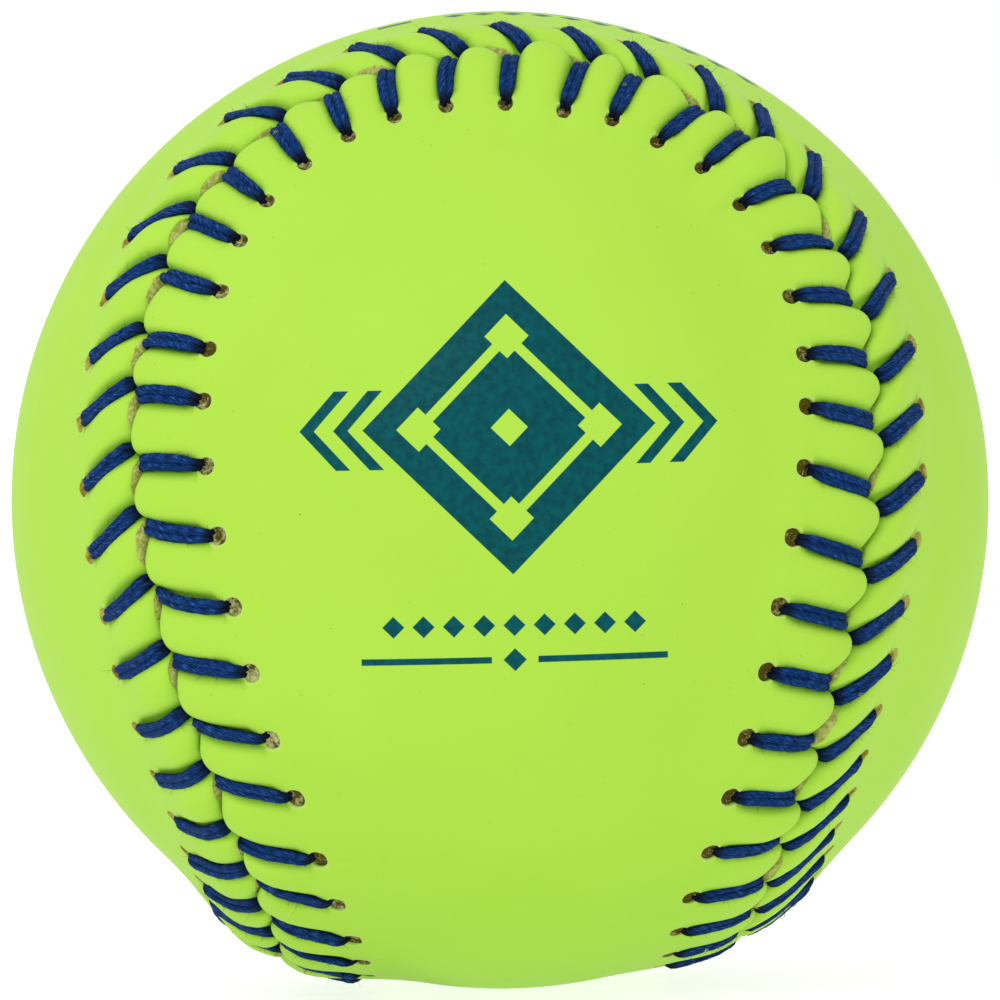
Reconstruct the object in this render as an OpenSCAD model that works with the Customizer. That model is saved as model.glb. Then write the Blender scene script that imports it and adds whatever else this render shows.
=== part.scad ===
// Softball: a moulded core coated in cement, covered by two interlocking panels of synthetic
// leather on a felt backing, and closed by two waxed threads that cross in the seam.
// Origin at the centre of the ball, +Z up. The front panel's lobe faces -Y.

/* [Ball] */
// Diameter of the plain cover between the seams
cover_d = 88.2; // [80:0.1:100]

/* [Layers] */
// Thickness of the synthetic leather skin
skin_t = 0.9; // [0.7:0.05:1.1]
// Thickness of the felt backing under the skin
backing_t = 0.7; // [0.5:0.05:0.9]
// Thickness of the cement coat on the core
cement_t = 0.25; // [0.15:0.05:0.4]
// Clearance between one layer and the next
layer_clear = 0.05; // [0.03:0.01:0.1]

/* [Seam] */
// Number of stitches around the whole seam, an even count
stitches = 84; // [72:2:92]
// Height of the lips beside the seam above the plain cover
lip_rise = 2.0; // [1.7:0.05:2.2]
// Height of the cover above the plain sphere at the rows of holes
hole_rise = 0.8; // [0.75:0.05:1.0]
// Distance from the middle of the seam to the top of a lip
lip_offset = 1.4; // [1.2:0.05:1.8]
// Drop from the top of a lip to its rounded edge
lip_drop = 0.4; // [0.3:0.05:0.5]
// Distance from the middle of the seam to each row of holes
hole_offset = 7.5; // [7.0:0.05:8.5]
// Distance from the middle of the seam to where the raised seam runs out
ridge_offset = 13.5; // [12.5:0.1:15]
// Diameter of a stitch hole
hole_d = 1.6; // [1.55:0.05:1.9]
// Distance along the seam by which the side panel's holes trail the front panel's
row_lag = 0.85; // [0:0.05:1.2]
// Distance along the seam from a front hole to the point of its stitch
point_lead = 1.8; // [1.4:0.05:2.4]

/* [Thread] */
// Width of a stitch, two strands side by side
thread_w = 1.5; // [1.2:0.05:1.6]
// Thickness of a stitch
thread_t = 0.6; // [0.5:0.05:0.65]
// Width of the thread where its strands bunch up in a hole
thread_hole_w = 1.1; // [0.9:0.05:1.15]
// Clearance between the thread and the pieces that it lies on
thread_clear = 0.1; // [0.08:0.01:0.12]
// Clearance on each side of the thread in the seam, and between two threads there
seam_clear = 0.2; // [0.15:0.01:0.25]

/* [Hidden] */

// The seam is a closed curve on the sphere, a sum of three turns with these shares of its radius
third_turn_share = 0.2834;
fifth_turn_share = 0.0348;
first_turn_share = 1 - third_turn_share;
height_share = 2 * sqrt(first_turn_share * third_turn_share);

// Angles of the seam's own parameter, at the top of the front panel and for a full round
tip_angle = 270;
full_turn = 360;
// Steps of the table that turns a length along the seam into an angle
table_steps = 720;

// Columns of the cover's mesh around the seam, a multiple of 8, and cells across a panel
columns = 80;
cells = 6;
half_columns = columns / 2;
// Distance from a hole's centre to the mesh rings beside it, as a share of the hole's diameter
hole_margin_share = 0.85;

cover_r = cover_d / 2;
skin_inner_r = cover_r - skin_t;
backing_outer_r = skin_inner_r - layer_clear;
backing_inner_r = backing_outer_r - backing_t;

degrees_per_radian = 180 / PI;
function seam_point(u) =
    let (x = first_turn_share * cos(u) - third_turn_share * cos(3 * u) + fifth_turn_share * cos(5 * u))
    let (y = first_turn_share * sin(u) + third_turn_share * sin(3 * u) + fifth_turn_share * sin(5 * u))
    let (z = -height_share * cos(2 * u))
    unit([x, y, z]);
function unit(v) = v / norm(v);

// Length along the seam on the plain cover, summed in short chords from the tip
table_angles = [for (i = [0 : table_steps]) tip_angle + full_turn * i / table_steps];
table_chords = [
    for (i = [0 : table_steps])
        i == 0 ? 0 : cover_r * norm(seam_point(table_angles[i]) - seam_point(table_angles[i - 1]))
];
table_lengths = [
    for (i = 0, sum = 0; i <= table_steps; i = i + 1, sum = sum + (i <= table_steps ? table_chords[i] : 0)) sum
];
seam_length = table_lengths[table_steps];
length_to_angle = [for (i = [0 : table_steps]) [table_lengths[i], table_angles[i]]];
pitch = seam_length / stitches;

function wrapped(s) = s - seam_length * floor(s / seam_length);
function angle_at(s) = lookup(wrapped(s), length_to_angle);

// Frame of the seam at a length along it: its direction, and the side of the front panel
angle_nudge = 0.05;
function seam_direction(u) = unit(seam_point(u + angle_nudge) - seam_point(u - angle_nudge));
function front_side(u) = unit(cross(seam_direction(u), seam_point(u)));

// A point at length s along the seam, at offset d towards the front panel, at radius r
function place(s, d, r) =
    let (u = angle_at(s))
    let (turn = degrees_per_radian * d / cover_r)
    r * (cos(turn) * seam_point(u) + sin(turn) * front_side(u));

// Rings of a panel, from where the ridge starts to the edge, as offset and height over the cover
hole_margin = hole_d * hole_margin_share;
inside_holes = hole_offset - hole_margin;
outside_holes = hole_offset + hole_margin;
edge_offset = thread_t / 2 + seam_clear;
slope = (lip_rise - hole_rise) / (hole_offset - lip_offset);
function slope_height(d) = hole_rise + slope * (hole_offset - d);
outside_height = hole_rise * (ridge_offset - outside_holes) / (ridge_offset - hole_offset);

skin_outer_rings = [
    [ridge_offset, cover_r],
    [outside_holes, cover_r + outside_height],
    [inside_holes, cover_r + slope_height(inside_holes)],
    [lip_offset, cover_r + lip_rise],
    [edge_offset, cover_r + lip_rise - lip_drop]
];
function under_rings(r) = [
    [edge_offset, r + lip_rise],
    [inside_holes, r + slope_height(inside_holes)],
    [outside_holes, r + outside_height],
    [ridge_offset, r]
];
function reversed(list) = [for (i = [len(list) - 1 : -1 : 0]) list[i]];
skin_rings = concat(skin_outer_rings, under_rings(skin_inner_r));
backing_rings = concat(reversed(under_rings(backing_outer_r)), under_rings(backing_inner_r));

// Points of one panel: its rings, then the cells of its outer face, then those of its inner face
function ring_point(ring, i) = place(seam_length * i / columns, ring[0], ring[1]);
function angle_between(a, b) = acos(a * b / (norm(a) * norm(b)));
function width_angle(ring, i) = angle_between(ring_point(ring, i), ring_point(ring, columns - i));
function cell_point(ring, i, k) =
    let (near = ring_point(ring, i), far = ring_point(ring, columns - i), width = width_angle(ring, i))
    (near * sin(width * (1 - k / cells)) + far * sin(width * k / cells)) / sin(width);
function face_points(ring) = [for (i = [1 : half_columns - 1]) for (k = [1 : cells - 1]) cell_point(ring, i, k)];
function panel_points(rings) = concat(
    [for (ring = rings) for (i = [0 : columns - 1]) ring_point(ring, i)],
    face_points(rings[0]),
    face_points(rings[len(rings) - 1])
);

// Triangles of one panel, and the number of a point by its place in a face
function face_number(ring_start, cell_start, i, k) =
    k == 0 ? ring_start + i :
    k == cells ? ring_start + columns - i :
    cell_start + (i - 1) * (cells - 1) + k - 1;
function split_quad(a, b, c, d) = [[a, b, c], [a, c, d]];
function band_triangles(count) = [
    for (j = [0 : count - 2]) for (i = [0 : columns - 1])
        let (a = j * columns, b = a + columns, n = (i + 1) % columns)
        each split_quad(a + i, b + i, b + n, a + n)
];
function face_triangles(ring_start, cell_start) = concat(
    [
        for (i = [1 : half_columns - 2]) for (k = [0 : cells - 1])
            each split_quad(
                face_number(ring_start, cell_start, i, k),
                face_number(ring_start, cell_start, i + 1, k),
                face_number(ring_start, cell_start, i + 1, k + 1),
                face_number(ring_start, cell_start, i, k + 1)
            )
    ],
    [
        for (k = [0 : cells - 1])
            [
                ring_start,
                face_number(ring_start, cell_start, 1, k),
                face_number(ring_start, cell_start, 1, k + 1)
            ]
    ],
    [
        for (k = [0 : cells - 1])
            [
                ring_start + half_columns,
                face_number(ring_start, cell_start, half_columns - 1, k + 1),
                face_number(ring_start, cell_start, half_columns - 1, k)
            ]
    ]
);
function panel_triangles(count) =
    let (last_ring = (count - 1) * columns, faces = count * columns)
    let (face_size = (half_columns - 1) * (cells - 1))
    concat(
        band_triangles(count),
        face_triangles(0, faces),
        [for (f = face_triangles(last_ring, faces + face_size)) reversed(f)]
    );

module panel(rings) {
    polyhedron(points = panel_points(rings), faces = panel_triangles(len(rings)), convexity = 10);
}

// The side panel is the front panel turned a quarter and flipped, which maps the seam on itself
module to_side() {
    rotate([0, 0, 90])
        mirror([0, 0, 1])
            children();
}

// Stitch places along the seam: holes of the front row, holes of the side row, points of the stitches
first_stitch_share = 0.15;
first_stitch = first_stitch_share * pitch;
function front_hole(i) = first_stitch + i * pitch;
function side_hole(i) = front_hole(i) - row_lag;
function stitch_point(i, side) = front_hole(i) + point_lead - side * (thread_w + seam_clear) / 2;

hole_sides = 24;
hole_depth = skin_t + backing_t + lip_rise;
function turn_to(v) = [0, acos(v[2] / norm(v)), atan2(v[1], v[0])];
module holes(side) {
    for (i = [0 : stitches - 1]) {
        s = side > 0 ? front_hole(i) : side_hole(i);
        rotate(turn_to(place(s, side * hole_offset, cover_r)))
            translate([0, 0, cover_r - hole_depth])
                cylinder(h = 2 * hole_depth, d = hole_d, $fn = hole_sides);
    }
}

// Route of the thread. It rises through a hole, lies over the lip to the point of the stitch,
// drops into the seam and runs on under the other panel to that panel's next hole.
inner_ring = backing_rings[len(backing_rings) - 1];
widest_angle = max([for (i = [1 : half_columns - 1]) width_angle(inner_ring, i)]);
cell_w = widest_angle / cells / degrees_per_radian * backing_inner_r;
cell_h = seam_length / columns;
facet_sag = (cell_w * cell_w + cell_h * cell_h) / (8 * backing_inner_r);
core_r = backing_inner_r - facet_sag - 2 * layer_clear - cement_t;
cement_r = core_r + layer_clear + cement_t;
run_sag = hole_offset * hole_offset / (8 * cement_r);
run_r = cement_r + thread_clear + run_sag + thread_t / 2;
leg_across = hole_offset - lip_offset;
leg_along = point_lead + row_lag + (thread_w + seam_clear) / 2;
leg_sag = (leg_across * leg_across + leg_along * leg_along) / (8 * cover_r);
function over_r(height) = cover_r + height + leg_sag + thread_clear + thread_t / 2;

// Each stop of the route is offset, radius and width of the thread there
function stitch_stops(side) = [
    [side * hole_offset, run_r, thread_hole_w],
    [side * hole_offset, over_r(hole_rise), thread_hole_w],
    [side * lip_offset, over_r(lip_rise), thread_w],
    [0, over_r(lip_rise - lip_drop), thread_w],
    [0, run_r, thread_w]
];
stops = 5;
hole_stops = 2;
function stop_length(i, side, k) =
    k < hole_stops ? (side > 0 ? front_hole(i) : side_hole(i)) : stitch_point(i, side);
function other(side, i) = i % 2 == 0 ? side : -side;
function thread_stops(start_side) = [
    for (i = [0 : stitches - 1]) for (k = [0 : stops - 1])
        let (side = other(start_side, i), stop = stitch_stops(side)[k], s = stop_length(i, side, k))
        [place(s, stop[0], stop[1]), stop[2], seam_direction(angle_at(s))]
];

// The tube of the thread: one flattened ring of six corners at each stop, square to the bend
corners = 6;
corner_turn = 360 / corners;
function ring_at(stops_list, n) =
    let (p = stops_list[n][0], last = len(stops_list) - 1)
    let (before = n == 0 ? p : stops_list[n - 1][0], after = n == last ? p : stops_list[n + 1][0])
    let (into = n == 0 ? unit(after - p) : unit(p - before))
    let (out = n == last ? into : unit(after - p))
    let (along = unit(into + out))
    let (raw = stops_list[n][2])
    let (wide = unit(raw - (raw * along) * along))
    let (thick = cross(wide, along) / (along * into))
    let (half_w = stops_list[n][1] / 2, half_t = thread_t / 2 / sin(corner_turn))
    [for (c = [0 : corners - 1]) p + wide * half_w * cos(c * corner_turn) + thick * half_t * sin(c * corner_turn)];
module thread(start_side) {
    list = thread_stops(start_side);
    count = len(list);
    points = [for (n = [0 : count - 1]) each ring_at(list, n)];
    sides = [
        for (n = [0 : count - 2]) for (c = [0 : corners - 1])
            let (a = n * corners, b = a + corners, m = (c + 1) % corners)
            each split_quad(a + c, a + m, b + m, b + c)
    ];
    start = [for (c = [corners - 1 : -1 : 0]) c];
    end = [for (c = [0 : corners - 1]) (count - 1) * corners + c];
    polyhedron(points = points, faces = concat(sides, [start, end]), convexity = 10);
}

ball_sides = 128;
module core() {
    color("saddlebrown")
        sphere(r = core_r, $fn = ball_sides);
}

module cement_layer() {
    color("ivory")
        difference() {
            sphere(r = cement_r, $fn = ball_sides);
            sphere(r = core_r + layer_clear, $fn = ball_sides);
        }
}

module front_panel_skin() {
    color("greenyellow")
        difference() {
            panel(skin_rings);
            holes(1);
        }
}

module front_panel_backing() {
    color("tan")
        difference() {
            panel(backing_rings);
            holes(1);
        }
}

module side_panel_skin() {
    color("greenyellow")
        difference() {
            to_side() panel(skin_rings);
            holes(-1);
        }
}

module side_panel_backing() {
    color("tan")
        difference() {
            to_side() panel(backing_rings);
            holes(-1);
        }
}

module thread_one() {
    color("royalblue")
        thread(1);
}

module thread_two() {
    color("royalblue")
        thread(-1);
}

core();
cement_layer();
front_panel_skin();
front_panel_backing();
side_panel_skin();
side_panel_backing();
thread_one();
thread_two();
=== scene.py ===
"""A stitched softball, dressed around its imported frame.

Lengths are in mm, unless a name ends in _m, until make_object turns them into metres.
A place on the cover is (s, d, h): s along the seam, d across it, towards the front panel,
and h above the plain sphere. A leg is the stretch of thread from a hole to the seam.
"""
import math

import bpy
import numpy as np
from mathutils import Matrix, Vector


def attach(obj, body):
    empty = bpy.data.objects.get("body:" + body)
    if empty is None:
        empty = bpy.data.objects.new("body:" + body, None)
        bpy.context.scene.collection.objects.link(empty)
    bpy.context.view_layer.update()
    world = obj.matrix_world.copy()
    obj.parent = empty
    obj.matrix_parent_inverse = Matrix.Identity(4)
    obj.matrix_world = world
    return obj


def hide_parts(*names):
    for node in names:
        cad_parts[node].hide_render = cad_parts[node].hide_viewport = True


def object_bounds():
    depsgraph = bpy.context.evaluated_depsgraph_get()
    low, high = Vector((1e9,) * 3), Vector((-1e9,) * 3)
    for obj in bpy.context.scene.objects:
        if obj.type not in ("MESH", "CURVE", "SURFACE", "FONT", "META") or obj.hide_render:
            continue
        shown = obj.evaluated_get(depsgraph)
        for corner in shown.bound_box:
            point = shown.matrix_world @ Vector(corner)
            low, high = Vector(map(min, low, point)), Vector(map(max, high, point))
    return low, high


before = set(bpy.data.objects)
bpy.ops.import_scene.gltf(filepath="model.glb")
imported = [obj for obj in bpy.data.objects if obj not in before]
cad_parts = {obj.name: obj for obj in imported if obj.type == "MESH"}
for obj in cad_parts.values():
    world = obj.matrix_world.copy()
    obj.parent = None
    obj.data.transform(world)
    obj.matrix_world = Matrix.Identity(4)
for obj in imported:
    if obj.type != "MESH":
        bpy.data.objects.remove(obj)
cad_low, cad_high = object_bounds()

MM = 0.001

# The ball and its seam, with the values of the CAD source
BALL_R = 44.1
PLAIN_R = 44.02
STITCHES = 84
THIRD_TURN = 0.2834
FIFTH_TURN = 0.0348
FIRST_TURN = 1 - THIRD_TURN
SEAM_HEIGHT = 2 * math.sqrt(FIRST_TURN * THIRD_TURN)
TIP_ANGLE = 270.0
FIRST_STITCH_SHARE = 0.15
SKIN_T = 0.9
# The two panels, as the signs of their sides of the seam
FRONT = 1
SIDE = -1
# Tongues of the front panel that stand higher than the rest, by stitch, as shares
HIGH_TONGUES = {82: 1.1, 83: 1.1, 0: 1.42, 1: 1.22, 3: 1.06, 4: 1.45}

# Nominal places of a stitch: along the seam from its base, and across from the seam
FRONT_HOLE_S = 0.0
SIDE_HOLE_S = -0.9
FRONT_END_S = 1.0
SIDE_END_S = 2.3
HOLE_D = 7.6
FRONT_END_D = 0.6
SIDE_END_D = -0.3
# Share of a reading's felt width by which the skin is cut back
FELT_SHARE = 0.68
# Spread of the hand sewing, and stitches past the last reading that it carries on
HAND_SPREAD = 0.22
CARRY = 2.5
# Spread of the tongues' heights, as a share
TONGUE_SPREAD = 0.05

# Heights of the cover above the plain sphere: at the panel's edge, then at these distances
LIP_V = 1.6
STRIP_D = 13.8
PROFILE_V = [LIP_V, 2.4, 3.4, 4.6, 5.8, 7.0, 8.0, 9.2, 10.6, 12.0, 13.0, STRIP_D]
RIDGE = [0.80, 2.10, 2.20, 2.08, 1.78, 1.38, 1.02, 0.78, 0.48, 0.21, 0.05, 0.0, 0.0]
GROOVE = [0.45, 1.16, 1.24, 1.16, 0.98, 0.82, 0.74, 0.66, 0.44, 0.20, 0.05, 0.0, 0.0]
HOLE_R = 0.76
HOLE_RIM = 0.84
HOLE_SQUARE = 1.1
PIT_DEPTH = 0.9
EDGE_FADE = 4.5
EDGE_GAP = 0.05

# Legs of the side panel whose middles are pulled back along the seam
PULLED_BACK = range(66, 83)
PULLED_BACK_BY = -0.4

# The stretch of seam that was pressed flatter than the rest, in stitches, and by what share
FLAT_MIDDLE = 20
FLAT_REACH = 1.5
FLAT_FADE = 4
FLAT_BY = 0.4

# The thread
THREAD_W = 1.52
THREAD_W_AT_HOLE = 1.14
THREAD_T = 0.72

# Seeds of the random draws, so that every run is the same
SEEDS = {"stitches": 11, "tongues": 3, "legs": 1000, "felt edge": 23, "hole felt": 31,
         "fibres": 47, "hairs": 71, "lint": 83}

# What is read off the photograph for the 37 stitches that it shows well, from READ_FIRST
# on, in mm: along and across for front hole, front end, side end and side hole, and the width
# of the felt that shows beside the front end
READ_FIRST = 65
READ = [
    (-0.2, 8.0, 1.0, 0.8, 1.9, 0.1, -2.6, 7.4, 0.20),
    (-0.9, 7.9, 0.5, 0.8, 1.8, -0.3, -2.1, 7.4, 0.20),
    (-1.1, 7.6, 0.7, 0.6, 2.0, 0.0, -2.0, 8.1, 0.20),
    (-1.4, 7.5, -0.1, 0.3, 1.3, -0.6, -0.9, 7.9, 0.25),
    (-1.0, 7.6, 1.0, 0.3, 2.2, -0.4, -0.7, 8.3, 0.45),
    (-1.3, 7.4, 0.8, 0.3, 2.0, -0.3, -0.3, 8.2, 0.03),
    (-1.2, 7.7, 1.1, 0.3, 2.3, -0.2, 0.2, 8.4, 0.60),
    (-1.2, 7.9, 1.3, 0.6, 2.6, -0.1, 0.1, 7.8, 0.45),
    (-0.7, 8.0, 1.5, 0.8, 3.0, 0.1, 0.2, 7.9, 1.00),
    (-0.1, 7.8, 1.2, 0.9, 2.7, 0.0, 0.5, 7.5, 0.65),
    (0.3, 7.7, 1.5, 0.6, 2.9, 0.0, 0.5, 7.8, 0.65),
    (-0.2, 7.7, 0.8, 0.8, 2.3, -0.1, 0.1, 7.6, 0.75),
    (0.3, 7.5, 1.4, 0.8, 2.9, 0.1, -0.1, 7.7, 0.85),
    (0.6, 7.1, 1.2, 0.6, 2.7, 0.0, -0.7, 8.1, 0.80),
    (0.3, 7.0, 1.0, 0.7, 2.4, 0.0, 0.0, 8.0, 0.85),
    (0.5, 6.9, 1.4, 0.6, 2.7, -0.4, -0.1, 8.2, 0.30),
    (0.4, 7.0, 1.4, 0.8, 2.8, -0.1, -0.6, 7.7, 0.20),
    (0.0, 7.1, 1.2, 0.5, 2.7, -0.5, -0.5, 8.2, 0.80),
    (-0.2, 7.4, 1.2, 0.9, 2.4, -0.1, -0.7, 7.4, 0.03),
    (0.3, 7.7, 0.9, 1.0, 2.2, -0.3, -0.8, 7.1, 0.75),
    (0.8, 7.9, 1.5, 0.9, 2.6, -0.7, -0.9, 7.1, 0.50),
    (0.3, 7.4, 0.6, 0.6, 1.9, -0.9, -1.5, 7.2, 0.03),
    (0.1, 7.6, 1.5, 0.9, 2.7, -0.5, -1.3, 8.5, 0.70),
    (0.1, 7.2, 0.2, 0.0, 1.6, -1.5, -1.6, 7.9, 0.15),
    (0.3, 7.1, 0.8, 0.4, 2.1, -1.0, -1.9, 8.1, 0.05),
    (0.3, 7.1, 1.2, 0.3, 2.4, -1.0, -1.7, 8.4, 0.55),
    (0.3, 7.1, 1.1, 0.6, 2.4, -1.1, -1.7, 8.2, 0.12),
    (0.6, 7.2, 1.0, 0.4, 2.3, -1.0, -1.5, 7.8, 0.10),
    (0.0, 7.5, 0.8, 0.4, 2.2, -0.9, -1.6, 7.5, 0.12),
    (0.0, 7.7, 1.1, 0.6, 2.5, -0.9, -1.6, 7.5, 0.45),
    (0.5, 8.1, 1.4, 0.5, 2.8, -0.5, -1.2, 7.4, 0.10),
    (0.8, 8.1, 1.2, 0.8, 2.7, -0.5, -1.0, 7.2, 0.15),
    (0.6, 7.7, 1.0, 0.9, 2.5, -0.4, -1.5, 7.3, 0.55),
    (0.6, 7.7, 0.8, 0.8, 2.6, -0.8, -1.2, 7.4, 1.20),
    (0.3, 7.3, 0.8, 0.6, 2.5, -0.8, -1.4, 7.6, 0.30),
    (0.2, 7.3, 0.4, 0.6, 2.0, -0.7, -1.5, 8.0, 0.05),
    (0.1, 7.5, 0.6, 0.4, 2.3, -0.6, -1.4, 7.8, 0.90),
]


# Seam

def seam_point(u):
    first = FIRST_TURN * np.cos(u) - THIRD_TURN * np.cos(3 * u) + FIFTH_TURN * np.cos(5 * u)
    second = FIRST_TURN * np.sin(u) + THIRD_TURN * np.sin(3 * u) + FIFTH_TURN * np.sin(5 * u)
    third = -SEAM_HEIGHT * np.cos(2 * u)
    return unit(np.stack([first, second, third], -1))


def unit(v):
    return v / np.linalg.norm(v, axis=-1, keepdims=True)


SEAM_STEPS = 7200
NUDGE = 1e-4
seam_u = np.radians(TIP_ANGLE + 360.0 * np.arange(SEAM_STEPS + 1) / SEAM_STEPS)
seam_p = seam_point(seam_u)
seam_step = np.linalg.norm(np.diff(seam_p, axis=0), axis=1) * BALL_R
seam_s = np.concatenate([[0.0], np.cumsum(seam_step)])
SEAM_LENGTH = seam_s[-1]
PITCH = SEAM_LENGTH / STITCHES
seam_t = unit(seam_point(seam_u + NUDGE) - seam_point(seam_u - NUDGE))
seam_f = unit(np.cross(seam_t, seam_p))


def seam_frame(s):
    """The unit vectors out of the ball and towards the front panel at s."""
    wrapped = np.mod(s, SEAM_LENGTH)
    return [unit(np.stack([np.interp(wrapped, seam_s, part) for part in table.T], -1))
            for table in (seam_p, seam_f)]


def seam_rise(s):
    """The share of its usual height that the seam has at s."""
    away = np.abs(np.mod(s / PITCH - FLAT_MIDDLE + STITCHES / 2, STITCHES) - STITCHES / 2)
    return 1 - FLAT_BY * fading(away, FLAT_REACH, FLAT_FADE)


def place(s, d, h):
    """The point in mm at s along the seam, d across it and h above the plain sphere.

    Where the seam was pressed flatter, the point comes out lower."""
    s, d, h = np.broadcast_arrays(s, d, h)
    h = np.where(h > 0, h * seam_rise(s), h)
    up, across = seam_frame(s)
    angle = (d / BALL_R)[..., None]
    return (PLAIN_R + h)[..., None] * (np.cos(angle) * up + np.sin(angle) * across)


def smooth(x):
    x = np.clip(x, 0.0, 1.0)
    return x * x * (3 - 2 * x)


def fading(x, start, length):
    """1 up to the start, then smoothly down to 0 over the length."""
    return 1 - smooth((x - start) / length)


def curve_through(x, y, v):
    """A smooth curve at v through places x and values y, level beyond its ends."""
    slope = np.gradient(y, x)
    v = np.clip(v, x[0], x[-1])
    i = np.clip(np.searchsorted(x, v, side="right") - 1, 0, len(x) - 2)
    w = x[i + 1] - x[i]
    t = (v - x[i]) / w
    a = (1 + 2 * t) * (1 - t) ** 2 * y[i] + t * (1 - t) ** 2 * w * slope[i]
    return a + t * t * (3 - 2 * t) * y[i + 1] + t * t * (t - 1) * w * slope[i + 1]


def profile(heights, v):
    """A lip's height: a rolled quarter ellipse out to LIP_V, then the curve."""
    edge, top = heights[:2]
    roll = edge + (top - edge) * np.sqrt(np.clip(1 - (1 - np.clip(v, 0, LIP_V) / LIP_V) ** 2, 0, 1))
    curve = curve_through(np.array(PROFILE_V), np.array(heights[1:]), v)
    return np.where(v < LIP_V, roll, curve)


# Stitches: where each leg leaves its hole and where it dives into the seam

def draws(kind, number=0):
    """The random draws of one kind, from a seed of its own."""
    return np.random.default_rng(SEEDS[kind] + number)


def stitch_places():
    """Along-seam bases, the eight places of each stitch, and the felt shown beside it."""
    rng = draws("stitches")
    nominal = np.array([FRONT_HOLE_S, HOLE_D, FRONT_END_S, FRONT_END_D, SIDE_END_S, SIDE_END_D,
                        SIDE_HOLE_S, HOLE_D])
    places = nominal + rng.normal(0.0, HAND_SPREAD, (STITCHES, len(nominal)))
    felt_shown = rng.gamma(shape=1.6, scale=0.26, size=STITCHES)
    read = np.array(READ)
    numbers = (READ_FIRST + np.arange(len(READ))) % STITCHES
    for n in range(STITCHES):
        after, before = (n - numbers[-1]) % STITCHES, (READ_FIRST - n) % STITCHES
        carried = (read[-1, :-1] - nominal) * math.exp(-after / CARRY)
        places[n] += carried + (read[0, :-1] - nominal) * math.exp(-before / CARRY)
    places[numbers] = read[:, :-1]
    felt_shown[numbers] = read[:, -1]
    base = (np.arange(STITCHES) + FIRST_STITCH_SHARE) * PITCH
    return base, places, np.clip(felt_shown * FELT_SHARE, 0.0, 1.0)


stitch_base, stitch_place, felt_shown = stitch_places()
hole_s = {FRONT: stitch_base + stitch_place[:, 0], SIDE: stitch_base + stitch_place[:, 6]}
hole_d = {FRONT: stitch_place[:, 1], SIDE: stitch_place[:, 7]}
end_s = {FRONT: stitch_base + stitch_place[:, 2], SIDE: stitch_base + stitch_place[:, 4]}
row_s = {FRONT: stitch_base + FRONT_HOLE_S, SIDE: stitch_base + SIDE_HOLE_S}
front_edge = stitch_place[:, 3]
tongue_edge = stitch_place[:, 5]


def around(values, n, step=0.0):
    """values[n] for any whole n, where each turn round the seam adds step."""
    turns = np.floor_divide(n, STITCHES)
    return values[np.mod(n, STITCHES)] + turns * step


# From a front leg's middle to where its tongue's corner starts, ends, and turns back
CORNER_START = 0.72
CORNER_END = 1.95
TONGUE_BACK = 2.3
# The felt's sliver beside a front leg: where it is widest, its length, and where it stops
SLIVER_FULL = -1.3
SLIVER_REACH = 2.0
SLIVER_STRETCH = 2.4
SLIVER_STOP = 0.85
SLIVER_FALL = 1.25


def edge_line(s):
    """The front panel's edge at s, across the seam, and the width of felt that shows beyond."""
    wrapped = np.mod(s, SEAM_LENGTH)
    ends = end_s[FRONT]
    n = np.searchsorted(ends, wrapped, side="right") - 1
    x = wrapped - around(ends, n, SEAM_LENGTH)
    gap = around(ends, n + 1, SEAM_LENGTH) - around(ends, n, SEAM_LENGTH)
    here, there = around(front_edge, n), around(front_edge, n + 1)
    tongue = around(tongue_edge, n)
    corner = np.clip((x - CORNER_START) / (CORNER_END - CORNER_START), 0, 1)
    corner = np.sqrt(1 - (1 - corner) ** 2)
    back = smooth((x - TONGUE_BACK) / (gap - CORNER_START - TONGUE_BACK))
    front = here + (tongue - here) * corner
    front = front + (there - front) * back
    opening = sliver(x, around(felt_shown, n)) + sliver(x - gap, around(felt_shown, n + 1))
    return front, opening


def sliver(x, width):
    """The opening beside a front leg, at x from its middle."""
    reach = SLIVER_REACH + SLIVER_STRETCH * width
    rise = np.clip((x + reach) / (reach + SLIVER_FULL), 0, 1)
    fall = (SLIVER_STOP - x) / (SLIVER_STOP - SLIVER_FULL)
    return width * np.sin(rise * math.pi / 2) * smooth(fall * SLIVER_FALL)


def edge_of(side, s):
    """How far this panel is drawn back from the seam at s, and how far its skin is cut back."""
    front, opening = edge_line(s)
    if side == FRONT:
        return front, 0 * opening
    return EDGE_GAP - front, opening


# Panels

# Places of the columns beside a leg's middle, up to half a stitch away
HOLE_RINGS = [0.2, 0.4, 0.6, HOLE_R, HOLE_RIM, 0.96]
COLUMN_X = HOLE_RINGS + [HOLE_SQUARE, 1.35, 1.65, 2.0, 2.4]
HALF_STITCH = 2.8
COLUMNS = 2 * (len(COLUMN_X) + 1)
# How far a stitch's value has turned into the next one's, at each of its columns
TURNS_LATE = [0.12, 0.27, 0.42, 0.5, 0.58, 0.73, 0.88]
COLUMN_BLEND = np.array([0.0] * 8 + TURNS_LATE + [1.0] * 9)
# Rows of the strip: from the edge, round the holes, and as shares of what is left
LIP_ROWS = [0.0, 0.05, 0.14, 0.28, 0.48, 0.75, 1.1, 1.55, 2.1, 2.8, 3.6, 4.5, 5.4, 6.1]
LIP_ROWS_END = 6.6
HOLE_ROWS = [-x for x in reversed(HOLE_RINGS)] + [0.0] + HOLE_RINGS
OUTER_ROWS = [0.11, 0.25, 0.42, 0.62, 0.81, 1.0]
# Rows of the edge's face that go down into the seam: (inwards, down)
UNDER_ROWS = [(0.3, -1.9), (0.2, -1.2), (0.08, -0.5)]
# Half the groove under a leg, and how fully a tongue swells beside it
WALL_START = 0.5
TONGUE_ROUND = 2.9
# Width of the painted highlight round a hole's rim, and of the slope down into it
RIM_W = 0.09
PIT_SLOPE = 0.18
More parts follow.
